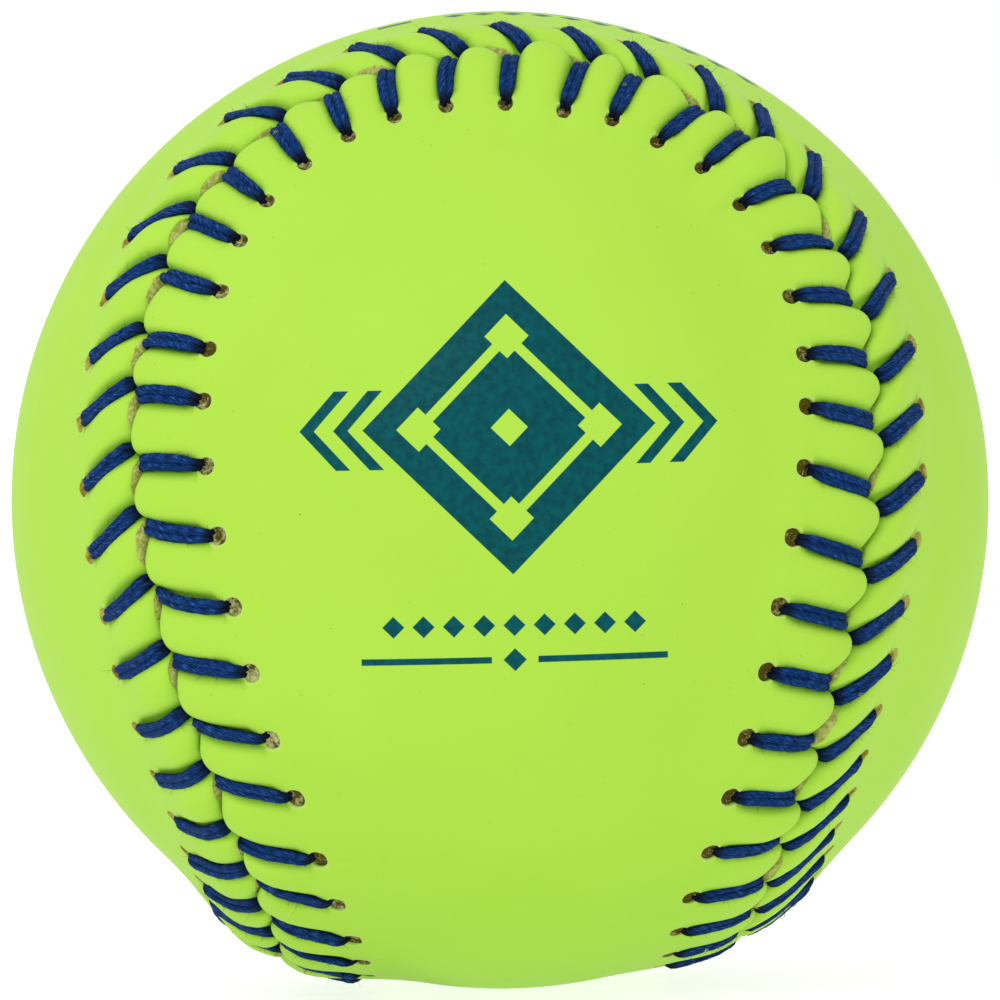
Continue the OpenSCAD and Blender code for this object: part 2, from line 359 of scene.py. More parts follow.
# Strengths of the painted shade beside a leg and in the crease, and the width of the crease's
# painted shade
LEG_SHADE_SHARE = 0.85
CREASE_SHADE_SHARE = 0.6
CREASE_SHADE_W = 0.2


def column_lines(side, share):
    """Where every column stands at this share of the way from the edge to the holes.

    Gives s, the distance from the nearest leg's middle with its sign, and half the gap."""
    legs = end_s[side] + (hole_s[side] - end_s[side]) * np.clip(share, 0, 1)
    beyond = smooth(share - 1)
    legs = legs + (row_s[side] - legs) * beyond
    following = np.roll(legs, -1)
    following[-1] += SEAM_LENGTH
    half = (following - legs) / 2
    near = HOLE_SQUARE
    offsets = []
    for x in COLUMN_X:
        stretched = near + (x - near) * (half - near) / (HALF_STITCH - near)
        offsets.append(np.full(STITCHES, x) if x <= near else stretched)
    q = [np.zeros(STITCHES)] + offsets + [half]
    s = [legs + x for x in q] + [following - x for x in reversed(offsets)]
    q = q + [-x for x in reversed(offsets)]
    halves = np.repeat(half, COLUMNS)
    return np.stack(s, 1).ravel(), np.stack(q, 1).ravel(), halves


def per_column(values):
    """A stitch's value on its own columns, blended smoothly from one leg to the next."""
    following = np.roll(values, -1)
    return (values[:, None] + (following - values)[:, None] * COLUMN_BLEND).ravel()


def panel_rows(side):
    """The lines of the stitched strip, each as arrays of s, d, h, painted shade and painted rim
    highlight.
    """
    hole_v = per_column(hole_d[side])
    edge_s, edge_q, edge_half = column_lines(side, 0.0)
    drawn_back, cut_back = edge_of(side, edge_s)
    puff = draws("tongues", side).normal(1.0, TONGUE_SPREAD, STITCHES)
    if side == FRONT:
        for n, swell in HIGH_TONGUES.items():
            puff[n] = swell
    puff = np.repeat(puff, COLUMNS)
    edge_h = cover_height(cut_back, edge_q, edge_half, puff)
    rows = []
    # The edge's face down in the seam carries full painted shade
    for inwards, down in UNDER_ROWS:
        d = drawn_back + cut_back + inwards
        rows.append((edge_s, d, edge_h + down, np.ones(edge_s.shape), 0 * edge_s))
    stops = [(v, "lip") for v in LIP_ROWS] + [(v, "holes") for v in HOLE_ROWS]
    stops = stops + [(v, "outer") for v in OUTER_ROWS]
    for stop, part in stops:
        if part == "lip":
            reach = smooth(stop / LIP_ROWS_END)
            v = stop + (hole_v - HOLE_SQUARE - LIP_ROWS_END) * reach
            share = stop / (LIP_ROWS_END + HOLE_SQUARE)
        elif part == "holes":
            v = hole_v + stop
            share = 1.0
        else:
            start = hole_v + HOLE_SQUARE
            v = start + (STRIP_D - start) * stop
            share = 1.0 + stop
        s, q, half = column_lines(side, share)
        fade = fading(v, 0, EDGE_FADE)
        v = v + cut_back * fade
        h = cover_height(v, q, half, puff)
        painted_shade = cover_painted_shade(v, q, hole_v)
        rim = np.zeros(s.shape)
        if part == "holes":
            ring = np.maximum(np.abs(q), abs(stop))
            # A painted highlight round the hole's rim, and painted shade that fills its pit
            rim = np.clip(1 - np.abs(ring - HOLE_RIM) / RIM_W, 0, 1)
            painted_shade = np.where(ring <= HOLE_R, 1.0, painted_shade)
            s, v, h = round_hole(s, v, h, q, stop)
        rows.append((s, drawn_back * fade + v, h, painted_shade, rim))
    return rows


def cover_painted_shade(v, q, hole_v):
    """How much shade is painted on the cover: beside a leg, and down inside the crease."""
    beside = fading(np.abs(q), start=0.6, length=0.85)
    along = 1 - fading(hole_v - v, start=0.4, length=1.0)
    return np.maximum(beside * along * LEG_SHADE_SHARE, fading(v, 0, CREASE_SHADE_W) * CREASE_SHADE_SHARE)


def cover_height(v, q, half, puff):
    """The cover's height: a groove under each leg and a swollen tongue between two legs."""
    ridge = profile(RIDGE, v) * puff
    groove = profile(GROOVE, v)
    share = np.clip((np.abs(q) - WALL_START) / (half - WALL_START), 0, 1)
    swell = 1 - (1 - share) ** TONGUE_ROUND
    return groove + (ridge - groove) * swell


def round_hole(s, v, h, q, stop):
    """Draws the square rings round a hole into circles, and sinks the pit."""
    ring = np.maximum(np.abs(q), abs(stop))
    inside = ring < HOLE_SQUARE
    across = np.hypot(q, stop)
    ratio = ring / np.where(across > 0, across, 1)
    pull = np.clip((HOLE_SQUARE - ring) / (HOLE_SQUARE - HOLE_RIM), 0, 1)
    scale = np.where(inside, 1 + pull * (ratio - 1), 1.0)
    sink = np.clip((HOLE_RIM - ring) / PIT_SLOPE, 0, 1)
    depth = np.where(inside, sink ** 1.5 * PIT_DEPTH, 0.0)
    return s + q * (scale - 1), v + stop * (scale - 1), h - depth


# Columns to one cell of the plain middle, and cells across it
COARSE = 3
CROSS_CELLS = 44


def band(count, rings, first):
    """Quads between rings of this many vertices each, numbered from first on."""
    here = np.arange(count)
    there = np.roll(here, -1)
    quads = []
    for k in range(rings - 1):
        a, b = first + k * count, first + (k + 1) * count
        quads.extend(np.stack([a + here, a + there, b + there, b + here], 1).tolist())
    return quads


def panel_mesh(side, rows):
    """A panel's vertices and faces: the stitched strip, then cells across the middle."""
    count = STITCHES * COLUMNS
    points = [place(row[0], side * row[1], row[2]) for row in rows]
    faces = band(count, len(rows), 0)
    last = (len(rows) - 1) * count
    first_line = 0 if side == FRONT else count // 4
    rim = points[-1]
    lines = count // COARSE
    half = lines // 2
    start = len(rows) * count
    share = np.arange(1, CROSS_CELLS) / CROSS_CELLS
    middle = []
    for j in range(half):
        near = (first_line + j * COARSE) % count
        far = (first_line + (lines - 1 - j) * COARSE) % count
        middle.append(arc_between(rim[near], rim[far], share))
    inner = CROSS_CELLS - 1
    grid = start + np.arange(half * inner).reshape(half, inner)

    def stretch(line):
        """The rim's vertices along one cell, from this line on."""
        return [last + (first_line + line * COARSE + i) % count for i in range(COARSE + 1)]

    for j in range(half - 1):
        faces.append(stretch(j) + [grid[j + 1, 0], grid[j, 0]])
        faces.append(stretch(lines - 2 - j) + [grid[j, -1], grid[j + 1, -1]])
        for k in range(inner - 1):
            faces.append([grid[j, k], grid[j + 1, k], grid[j + 1, k + 1], grid[j, k + 1]])
    faces.append(stretch(lines - 1) + list(grid[0]))
    faces.append(stretch(half - 1) + list(grid[-1][::-1]))
    if side == SIDE:
        faces = [face[::-1] for face in faces]
    shades = {}
    for name, strip in zip(("painted_shade", "rim"), zip(*[row[3:] for row in rows])):
        shades[name] = np.concatenate([*strip, np.zeros(half * inner)])
    return np.concatenate(points + middle), faces, shades


def arc_between(a, b, share):
    """Points on the great circle from a to b, at these shares of the way."""
    angle = math.acos(a @ b / np.linalg.norm(a) / np.linalg.norm(b))
    w = np.stack([np.sin((1 - share) * angle), np.sin(share * angle)], 1) / math.sin(angle)
    return w[:, :1] * a + w[:, 1:] * b


def make_object(name, points, faces, material, shades=None, uvs=None):
    """A smooth mesh piece from points in mm, with its shades as attributes."""
    mesh = bpy.data.meshes.new(name)
    mesh.from_pydata((np.asarray(points) * MM).tolist(), [], faces)
    mesh.polygons.foreach_set("use_smooth", [True] * len(mesh.polygons))
    if uvs is not None:
        layer = mesh.uv_layers.new(name="Fibre")
        corners = np.empty(len(mesh.loops), dtype=np.int32)
        mesh.loops.foreach_get("vertex_index", corners)
        layer.data.foreach_set("uv", np.asarray(uvs, np.float32)[corners].ravel())
    for kind, values in (shades or {}).items():
        attribute = mesh.attributes.new(kind, "FLOAT", "POINT")
        attribute.data.foreach_set("value", np.asarray(values, np.float32))
    mesh.materials.append(material)
    mesh.update()
    piece = bpy.data.objects.new(name, mesh)
    bpy.context.scene.collection.objects.link(piece)
    return piece


# Thread

LEG_RINGS = 30
STRAND_SIDES = 14
# Stops along a leg. In the hole: (short of its centre, above its rim). On the cover: short of
# the hole's centre, then from the edge. In the seam: (from the edge, height)
LEG_IN_HOLE = [(0.55, -1.1), (0.58, -0.5), (0.76, 0.08)]
LEG_FROM_HOLE = [1.3, 2.0]
LEG_ON_COVER = [4.6, 3.5, 2.5, 1.7, 1.1, 0.7, 0.42]
LEG_IN_SEAM = [(0.26, 0.75), (0.20, 0.15), (0.18, -0.6)]
# How deep a leg presses into the cover, and the spreads of its bow
LEG_SINK = 0.02
BOW_SPREAD = 0.14
PULLED_BACK_SPREAD = 0.1
# How a leg narrows over the edge
NARROWS_OVER = 0.9
NARROWS_BY = 0.07
# Spreads of a leg's width, of its lean to one side and of its turn from end to end
LEG_W_SPREAD = 0.03
LEAN_SPREAD = 0.2
TURN_SPREAD = 0.4
# A strand's distance from the leg's middle and its half width, as shares of the leg's width
STRAND_APART_SHARE = 0.235
STRAND_HALF_SHARE = 0.28
# The twist in radians per mm, the rise of its ridges, and the length and rise of a swap
TWIST_PER_MM = 2.1
RIDGE_SHARE = 0.04
RIDGE_SPREAD = 0.015
SWAP_LENGTH = 7.6
SWAP_RISE = 0.04
# Darkness of the painted shade on a leg in the seam and on its flanks; at its hole it is 1
SEAM_DARKNESS = 0.85
FLANK_DARKNESS = 0.6


def leg_path(side, n):
    """Points along the middle of a leg, from inside its hole to inside the seam."""
    rng = draws("legs", 2 * n + (side == SIDE))
    hole_v = hole_d[side][n]
    edge = edge_of(side, end_s[side][n])[0]
    rest = THREAD_T / 2 - LEG_SINK
    rim = profile(GROOVE, hole_v)
    stops = [(hole_v - inside, rim + rise) for inside, rise in LEG_IN_HOLE]
    for v in [hole_v - x for x in LEG_FROM_HOLE] + LEG_ON_COVER:
        stops.append((v, profile(GROOVE, v) + rest))
    v, h = resample(np.array(stops + LEG_IN_SEAM), LEG_RINGS)
    bow = rng.normal(0.0, BOW_SPREAD)
    if side == SIDE and n in PULLED_BACK:
        bow = rng.normal(PULLED_BACK_BY, PULLED_BACK_SPREAD)
    share = np.clip(v / hole_v, 0, 1)
    s = end_s[side][n] + (hole_s[side][n] - end_s[side][n]) * share + bow * np.sin(math.pi * share)
    d = v + edge * fading(v, 0, EDGE_FADE)
    return s, side * d, h, v, hole_v, rng


def running_length(points):
    """The length along a row of points, up to each of them."""
    return np.concatenate([[0], np.cumsum(np.linalg.norm(np.diff(points, axis=0), axis=1))])


def resample(stops, count):
    """A smooth curve through the stops, cut into even steps."""
    padded = np.concatenate([2 * stops[:1] - stops[1:2], stops, 2 * stops[-1:] - stops[-2:-1]])
    t = np.linspace(0, 1, 9)[:-1, None]
    pieces = []
    for i in range(len(stops) - 1):
        a, b, c, e = padded[i:i + 4]
        pieces.append(0.5 * (2 * b + (c - a) * t + (2 * a - 5 * b + 4 * c - e) * t ** 2
                             + (3 * b - a - 3 * c + e) * t ** 3))
    fine = np.concatenate(pieces + [stops[-1:]])
    length = running_length(fine)
    even = np.linspace(0, length[-1], count)
    return [np.interp(even, length, part) for part in fine.T]


def leg_shade(v, hole_v, turn):
    """How much shade is painted on a leg at each corner of its rings: at its hole, in the seam and
    on its flanks.
    """
    at_hole = fading(hole_v - v, start=0.7, length=0.8)
    in_seam = fading(v, start=0.25, length=0.8) * SEAM_DARKNESS
    flanks = fading(np.sin(turn), start=-0.3, length=0.7) * FLANK_DARKNESS
    return np.maximum(np.maximum(at_hole, in_seam)[:, None], flanks).ravel()


def leg_strands(side, n):
    """Two strands side by side: (points, uvs, shade) of each."""
    s, d, h, v, hole_v, rng = leg_path(side, n)
    middle = place(s, d, h)
    tangent = unit(np.gradient(middle, axis=0))
    out = unit(middle)
    normal = unit(out - (out * tangent).sum(1, keepdims=True) * tangent)
    across = np.cross(tangent, normal)
    pinch = fading(hole_v - v, start=0.4, length=2.2)
    width = THREAD_W - (THREAD_W - THREAD_W_AT_HOLE) * pinch
    width = width * (1 - NARROWS_BY * (1 - np.clip(v / NARROWS_OVER, 0, 1)))
    width = width * rng.normal(1.0, LEG_W_SPREAD)
    roll = rng.normal(0.0, LEAN_SPREAD) + rng.normal(0.0, TURN_SPREAD) * (v / hole_v - 0.5)
    length = running_length(middle)
    turn = np.arange(STRAND_SIDES) * 2 * math.pi / STRAND_SIDES - math.pi / 2
    shade = leg_shade(v, hole_v, turn)
    strands = []
    for hand in (-1, 1):
        swap = np.sin(length / SWAP_LENGTH * math.pi + rng.uniform(-0.5, 0.5)) * SWAP_RISE
        apart = hand * width * STRAND_APART_SHARE
        centre = middle + across * (apart * np.cos(roll))[:, None]
        centre = centre + normal * (apart * np.sin(roll) + swap * hand)[:, None]
        phase = rng.uniform(0, 2 * math.pi)
        twist = length[:, None] * TWIST_PER_MM + phase
        ridges = 1 + RIDGE_SHARE * np.cos(2 * (turn - twist))
        ridges = ridges + rng.normal(0, RIDGE_SPREAD, ridges.shape)
        half_w = (width * STRAND_HALF_SHARE)[:, None] * ridges
        half_t = (THREAD_T / 2) * ridges
        ring = (across[:, None, :] * (np.cos(turn) * half_w)[..., None]
                + normal[:, None, :] * (np.sin(turn) * half_t)[..., None])
        points = (centre[:, None, :] + ring).reshape(-1, 3)
        uv = np.meshgrid(np.arange(STRAND_SIDES) / STRAND_SIDES, length + phase * 3 + n)
        strands.append((points, np.stack(uv, -1).reshape(-1, 2), shade))
    return strands


def tube_faces(rings, sides, first):
    """A tube's walls and its two ends."""
    corners = np.arange(first, first + sides)
    ends = [corners[::-1].tolist(), (corners + (rings - 1) * sides).tolist()]
    return band(sides, rings, first) + ends


def thread_mesh(first_side):
    """All the legs of one thread, which changes panel at every stitch."""
    strands, faces = [], []
    for n in range(STITCHES):
        strands.extend(leg_strands(first_side if n % 2 == 0 else -first_side, n))
    for k in range(len(strands)):
        faces.extend(tube_faces(LEG_RINGS, STRAND_SIDES, k * LEG_RINGS * STRAND_SIDES))
    points, uvs, shades = [np.concatenate(part) for part in zip(*strands)]
    return points, faces, uvs, shades


# Hairs: thin bent tubes that stand up from a surface

# A hair's rings, as shares of its length, and how it thins towards its tip
HAIR_STOPS = np.array([0.0, 0.35, 0.7])
HAIR_TAPER = 0.6
# Thread hairs: shortest and longest, and their radius; lint: its length and radius
HAIR_SHORTEST = 0.12
HAIR_LONGEST = 0.75
HAIR_R = (0.012, 0.020)
LINT_LENGTH = (0.12, 0.32)
LINT_R = (0.014, 0.024)


def hair_mesh(roots, aims, bends, lengths, radius):
    """Three-sided tubes that end in a point: roots, unit aims and bends as (n, 3)."""
    count = len(roots)
    side = unit(np.cross(aims, bends + 1e-3))
    other = np.cross(aims, side)
    turn = np.arange(3) * 2 * math.pi / 3
    parts = []
    for t in HAIR_STOPS:
        centre = roots + (aims * t + bends * t * t) * lengths[:, None]
        wide = radius * (1 - HAIR_TAPER * t)
        for a in turn:
            parts.append(centre + (side * math.cos(a) + other * math.sin(a)) * wide[:, None])
    parts.append(roots + (aims + bends) * lengths[:, None])
    points = np.stack(parts, 1)
    size = points.shape[1]
    walls = band(3, len(HAIR_STOPS), 0)
    last = 3 * (len(HAIR_STOPS) - 1)
    tip = [[last + i, last + (i + 1) % 3, size - 1] for i in range(3)]
    faces = []
    for n in range(count):
        faces.extend([[n * size + k for k in face] for face in walls + tip])
    return points.reshape(-1, 3), faces


def thread_hairs(per_strand):
    """Short stray hairs on the strands, none of which reaches past the ball's box."""
    rng = draws("hairs")
    roots, aims = [], []
    for side in (FRONT, SIDE):
        for n in range(STITCHES):
            for points, _, _ in leg_strands(side, n):
                rings = points.reshape(LEG_RINGS, STRAND_SIDES, 3)
                ring = rng.integers(4, LEG_RINGS - 4, per_strand)
                corner = rng.integers(2, STRAND_SIDES - 1, per_strand)
                roots.append(rings[ring, corner])
                aims.append(unit(roots[-1] - rings.mean(1)[ring]))
    roots, aims = np.concatenate(roots), np.concatenate(aims)
    aims = unit(aims + rng.normal(scale=0.5, size=aims.shape))
    bends = rng.normal(scale=0.55, size=aims.shape)
    lengths = rng.gamma(shape=1.3, scale=0.18, size=len(roots)) + HAIR_SHORTEST
    lengths = np.minimum(lengths, HAIR_LONGEST)
    radius = rng.uniform(*HAIR_R, len(roots))
    tips = roots + (aims + bends) * lengths[:, None]
    kept = np.abs(tips).max(1) < PLAIN_R - 0.05
    return hair_mesh(roots[kept], aims[kept], bends[kept], lengths[kept], radius[kept])


def lint_tufts(tufts, per_tuft):
    """Pale fluff that has caught on some legs."""
    rng = draws("lint")
    roots = []
    for side, n in zip(rng.choice((FRONT, SIDE), tufts), rng.integers(0, STITCHES, tufts)):
        strand = leg_strands(side, n)[0][0].reshape(LEG_RINGS, STRAND_SIDES, 3)
        spot = strand[rng.integers(8, LEG_RINGS - 10), STRAND_SIDES // 2]
        roots.append(spot + rng.normal(scale=0.08, size=(per_tuft, 3)))
    roots = np.concatenate(roots)
    aims = unit(unit(roots) * 0.6 + rng.normal(size=roots.shape))
    bends = unit(rng.normal(size=roots.shape)) * 0.7
    lengths = rng.uniform(*LINT_LENGTH, len(roots))
    return hair_mesh(roots, aims, bends, lengths, rng.uniform(*LINT_R, len(roots)))


# Felt: the backing's raw edge in the seam, and its fibres in the holes

FELT_EDGE_ROWS = 9
# The felt's reach under the skin's edge, its depth in the open and more under the skin, and
# the roughness of its raw edge
FELT_TUCK = 0.3
OPEN_BELOW = 0.05
TUCKED_BELOW = 0.25
FELT_ROUGH = 0.035
# Where the front panel's felt starts in the seam: (inwards, height)
FRONT_FELT_START = (0.4, -0.6)
# Where the sheet's rows lie under the skin, and how far below its inner face
FELT_ROWS = [0.9, 2.4, 4.4, 6.4, 8.4, 10.4, 12.2, STRIP_D]
FELT_BELOW = 0.3
# The mound in a hole: its rings, its corners, its depth, the dip in its middle and its rim
MOUND_RINGS = [0.25, 0.48, 0.68, HOLE_RIM]
MOUND_SIDES = 12
MOUND_BELOW = 0.27
MOUND_DIP = 0.06
MOUND_RISE = 0.14
MOUND_ROUGH = 0.05
# Fibres: depth in a hole and in the seam, the narrowest gap that has any, length and radius
FIBRE_BELOW = 0.22
SEAM_FIBRE_BELOW = 0.08
SEAM_FIBRE_GAP = 0.2
FIBRE_LENGTH = (0.2, 0.55)
FIBRE_R = (0.018, 0.034)


def felt_edge(side):
    """The backing's first rows: on the side panel its raw edge, which shows in the seam."""
    s, q, half = column_lines(side, 0.0)
    front, opening = edge_line(s)
    if side == FRONT:
        inwards, height = FRONT_FELT_START
        return [(s, front + inwards, np.full(s.shape, height))]
    rng = draws("felt edge", side)
    rough = rng.normal(0, FELT_ROUGH, (FELT_EDGE_ROWS, len(s)))
    rough = rough * smooth(opening / 0.2)
    rows = []
    for k in range(FELT_EDGE_ROWS):
        v = (opening + FELT_TUCK) * (k / (FELT_EDGE_ROWS - 1))
        below = OPEN_BELOW + TUCKED_BELOW * smooth((v - opening) / FELT_TUCK)
        h = cover_height(v, q, half, 1.0) - below
        rows.append((s, EDGE_GAP - front + v, h + rough[k]))
    return rows


def felt_sheet(side):
    """Rows of the backing: its edge's, then others under the skin out to the strip's end."""
    rows = felt_edge(side)
    drawn_back, cut_back = edge_of(side, column_lines(side, 0.0)[0])
    for v in FELT_ROWS:
        share = v / HOLE_D if v < HOLE_D else 1 + (v - HOLE_D) / (STRIP_D - HOLE_D)
        s = column_lines(side, share)[0]
        h = profile(GROOVE, np.full(s.shape, v)) - SKIN_T - FELT_BELOW
        rows.append((s, (drawn_back + cut_back) * fading(v, 0, EDGE_FADE) + v, h))
    return rows


def hole_felt(side):
    """A ragged mound of felt in every hole of a panel."""
    rng = draws("hole felt", side)
    points, faces = [], []
    total = 0
    turn = np.arange(MOUND_SIDES) * 2 * math.pi / MOUND_SIDES
    for n in range(STITCHES):
        centre_h = profile(GROOVE, hole_d[side][n]) - MOUND_BELOW
        s0, d0 = hole_s[side][n], hole_d[side][n]
        points.append(place(s0, side * d0, centre_h - MOUND_DIP)[None, :])
        for radius in MOUND_RINGS:
            rise = 0 if radius == MOUND_RINGS[0] else MOUND_RISE
            h = centre_h + rng.normal(0, MOUND_ROUGH, MOUND_SIDES) + rise
            points.append(place(s0 + radius * np.cos(turn), side * (d0 + radius * np.sin(turn)), h))
        here = total + 1 + np.arange(MOUND_SIDES)
        faces.extend([[total, a, b] for a, b in zip(here, np.roll(here, -1))])
        quads = band(MOUND_SIDES, len(MOUND_RINGS), total + 1)
        faces.extend([[a, d, c, b] for a, b, c, d in quads])
        total += 1 + len(MOUND_RINGS) * MOUND_SIDES
    if side == SIDE:
        faces = [face[::-1] for face in faces]
    return np.concatenate(points), faces


def felt_fibres(side, per_hole, per_edge):
    """Loose pale fibres in the holes and along the felt that shows in the seam."""
    rng = draws("fibres", side)
    n = np.repeat(np.arange(STITCHES), per_hole)
    turn = rng.uniform(0, 2 * math.pi, len(n))
    radius = HOLE_R * np.sqrt(rng.uniform(0, 1, len(n)))
    s = hole_s[side][n] + radius * np.cos(turn)
    d = side * (hole_d[side][n] + radius * np.sin(turn))
    h = profile(GROOVE, hole_d[side][n]) - FIBRE_BELOW + rng.normal(scale=0.04, size=len(n))
    if side == SIDE:
        m = np.repeat(np.arange(STITCHES), per_edge)
        along = end_s[FRONT][m] - rng.uniform(-0.4, 2.4, len(m))
        front, opening = edge_line(along)
        open_here = opening > SEAM_FIBRE_GAP
        v = opening * rng.uniform(0.1, 0.95, len(m))
        s = np.concatenate([s, along[open_here]])
        d = np.concatenate([d, (front - EDGE_GAP - v)[open_here]])
        h = np.concatenate([h, profile(RIDGE, v)[open_here] - SEAM_FIBRE_BELOW])
    roots = place(s, d, h)
    out = unit(roots)
    flat = unit(np.cross(out, rng.normal(size=out.shape)))
    aims = unit(flat + out * rng.uniform(0.0, 0.5, len(s))[:, None])
    bends = unit(rng.normal(size=out.shape)) * 0.5
    lengths = rng.uniform(*FIBRE_LENGTH, len(s))
    return hair_mesh(roots, aims, bends, lengths, rng.uniform(*FIBRE_R, len(s)))


# Materials

class Nodes:
    """Short ways to add shader nodes to one material."""

    def __init__(self, name):
        self.material = bpy.data.materials.new(name)
        self.material.use_nodes = True
        self.tree = self.material.node_tree
        self.shader = self.tree.nodes["Principled BSDF"]
        place_m = self.add("ShaderNodeTexCoord").outputs["Object"]
        scaled = self.add("ShaderNodeVectorMath", {0: place_m, "Scale": 1 / MM}, operation="SCALE")
        self.place = scaled.outputs[0]

    def feed(self, socket, source):
        """Links an output to the socket, or sets it to a number or a colour."""
        if isinstance(source, bpy.types.NodeSocket):
            self.tree.links.new(source, socket)
        elif isinstance(source, tuple):
            socket.default_value = (*source, 1)
        else:
            socket.default_value = source

    def add(self, kind, inputs=None, **settings):
        """A new node with these settings, and its inputs fed by name or by number."""
        node = self.tree.nodes.new(kind)
        for key, value in settings.items():
            setattr(node, key, value)
        for key, source in (inputs or {}).items():
            self.feed(node.inputs[key], source)
        return node

    def surface(self, **inputs):
        """Feeds the material's shader."""
        for name, source in inputs.items():
            self.feed(self.shader.inputs[name.replace("_", " ")], source)

    def math(self, operation, a, b=None, clamp=False):
        inputs = {0: a} if b is None else {0: a, 1: b}
        return self.add("ShaderNodeMath", inputs, operation=operation, use_clamp=clamp).outputs[0]

    def plus(self, a, b, clamp=False):
        return self.math("ADD", a, b, clamp)

    def minus(self, a, b, clamp=False):
        return self.math("SUBTRACT", a, b, clamp)

    def times(self, a, b, clamp=False):
        return self.math("MULTIPLY", a, b, clamp)

    def noise(self, per_mm, detail=2.0, roughness=0.5, vector=None):
        """Noise on the place in mm, or on another vector."""
        inputs = {"Scale": per_mm, "Detail": detail, "Roughness": roughness}
        inputs["Vector"] = self.place if vector is None else vector
        return self.add("ShaderNodeTexNoise", inputs).outputs["Fac"]

    def attribute(self, name):
        return self.add("ShaderNodeAttribute", attribute_name=name).outputs["Fac"]

    def ramp(self, factor, stops):
        node = self.add("ShaderNodeValToRGB", {"Fac": factor})
        elements = node.color_ramp.elements
        for _ in stops[2:]:
            elements.new(0.5)
        for element, (position, colour) in zip(elements, stops):
            element.position = position
            element.color = (*colour, 1)
        return node.outputs["Color"]

    def mix(self, factor, a, b):
        """A blend of two colours; the mix node's colours are its inputs 6 and 7."""
        return self.add("ShaderNodeMix", {0: factor, 6: a, 7: b}, data_type="RGBA").outputs[2]

    def bump(self, height, strength, distance_m):
        inputs = {"Height": height, "Strength": strength, "Distance": distance_m}
        return self.add("ShaderNodeBump", inputs).outputs["Normal"]


# The cover's two greens, its flecks and the noise above which they show, the green of its painted
# shade, and the pale of the painted highlight on the hole rims with its share
COVER_DEEP = (0.362, 0.636, 0.054)
COVER_BRIGHT = (0.378, 0.656, 0.060)
FLECK_DARK = (0.10, 0.17, 0.02)
FLECK_LIMIT = 0.78
SHADE_GREEN = (0.13, 0.33, 0.012)
RIM_HIGHLIGHT = (0.62, 0.76, 0.28)
RIM_HIGHLIGHT_SHARE = 0.35
COVER_ROUGHNESS = 0.5
# The ink deepens the grain by twice its depth and shines more than the bare cover
INK_GRAIN = 2.0
INK_SHINE = 0.12


def cover_material(name, with_print):
    """Dyed synthetic leather with its grain, flecks and print, painted shade beside the legs, in
    the crease and in the holes, and a painted highlight on the hole rims.
    """
    n = Nodes(name)
    clouds = n.noise(0.06, detail=3.0)
    base = n.ramp(clouds, [(0.3, COVER_DEEP), (0.7, COVER_BRIGHT)])
    fleck = n.minus(n.noise(2.6, detail=1.0), FLECK_LIMIT, clamp=True)
    base = n.mix(n.times(fleck, 9.0, clamp=True), base, FLECK_DARK)
    # Painted shade beside the legs, in the crease and in the pits, then a painted highlight on the
    # hole rims
    base = n.mix(n.attribute("painted_shade"), base, SHADE_GREEN)
    base = n.mix(n.times(n.attribute("rim"), RIM_HIGHLIGHT_SHARE), base, RIM_HIGHLIGHT)
    inputs = {"Vector": n.place, "Scale": 1.5, "Smoothness": 0.6}
    grain = n.add("ShaderNodeTexVoronoi", inputs, feature="SMOOTH_F1").outputs["Distance"]
    height = n.plus(n.times(grain, 0.8), n.times(n.noise(4.0), 0.25))
    mask = with_print(n)
    height = n.times(height, n.plus(n.times(mask, INK_GRAIN), 1.0))
    # The ink's lighter mottle is painted sheen on its pebble grain
    ink = n.ramp(n.noise(1.5), [(0.35, INK_DARK), (0.65, INK_LIGHT)])
    roughness = n.minus(COVER_ROUGHNESS, n.times(mask, INK_SHINE))
    n.surface(Base_Color=n.mix(mask, base, ink), Roughness=roughness, Specular_IOR_Level=0.06)
    n.surface(Normal=n.bump(height, strength=0.5, distance_m=0.00004))
    return n.material


# The print: plain shapes of the builder's own, drawn where the panels carry ink

# The ink's two teals; the lighter one paints the sheen on its pebble grain
INK_DARK = (0.0, 0.054, 0.062)
INK_LIGHT = (0.0, 0.082, 0.088)
INK_EDGE = 0.05
# The infield's middle, how far out its bases lie, and the heights of what is below it
FIELD_X = 0.3
FIELD_Z = 7.6
BASES_OUT = 7.8
ROW_Z = -9.4
BARS_Z = -12.4
BARS_OUT = 7.6
# A step along x leads this share of it straight away from a rhombus's side
SLANT = 0.7


def ink_shape(n, distance):
    """1 inside the outline and 0 outside, from a signed distance in mm."""
    return n.plus(n.times(distance, -1 / INK_EDGE), 0.5, clamp=True)


def union(n, mark, *shapes):
    for shape in shapes:
        mark = n.math("MAXIMUM", mark, shape)
    return mark


def cut_out(n, a, b):
    return n.times(a, n.minus(1.0, b))


def away_from(n, at, middle):
    """How far the place lies from the middle, both ways."""
    return [n.math("ABSOLUTE", n.minus(a, b)) for a, b in zip(at, middle)]


def repeated(n, along, pitch, first, last):
    """The place along its own pitch, for pitches first to last."""
    cell = n.math("ROUND", n.math("DIVIDE", along, pitch))
    cell = n.math("MINIMUM", n.math("MAXIMUM", cell, first), last)
    return n.minus(along, n.times(cell, pitch))


def rhombus(n, at, middle, reach):
    """A square on its corner."""
    past = n.minus(n.plus(*away_from(n, at, middle)), reach)
    return ink_shape(n, n.times(past, SLANT))


def bar(n, at, middle, halves):
    past = [n.minus(away, half) for away, half in zip(away_from(n, at, middle), halves)]
    return ink_shape(n, n.math("MAXIMUM", *past))


def rhombus_row(n, at, middle, pitch, reach, half_count):
    inside = repeated(n, n.minus(at[0], middle[0]), pitch, -half_count, half_count)
    return rhombus(n, (inside, at[1]), (0.0, middle[1]), reach)


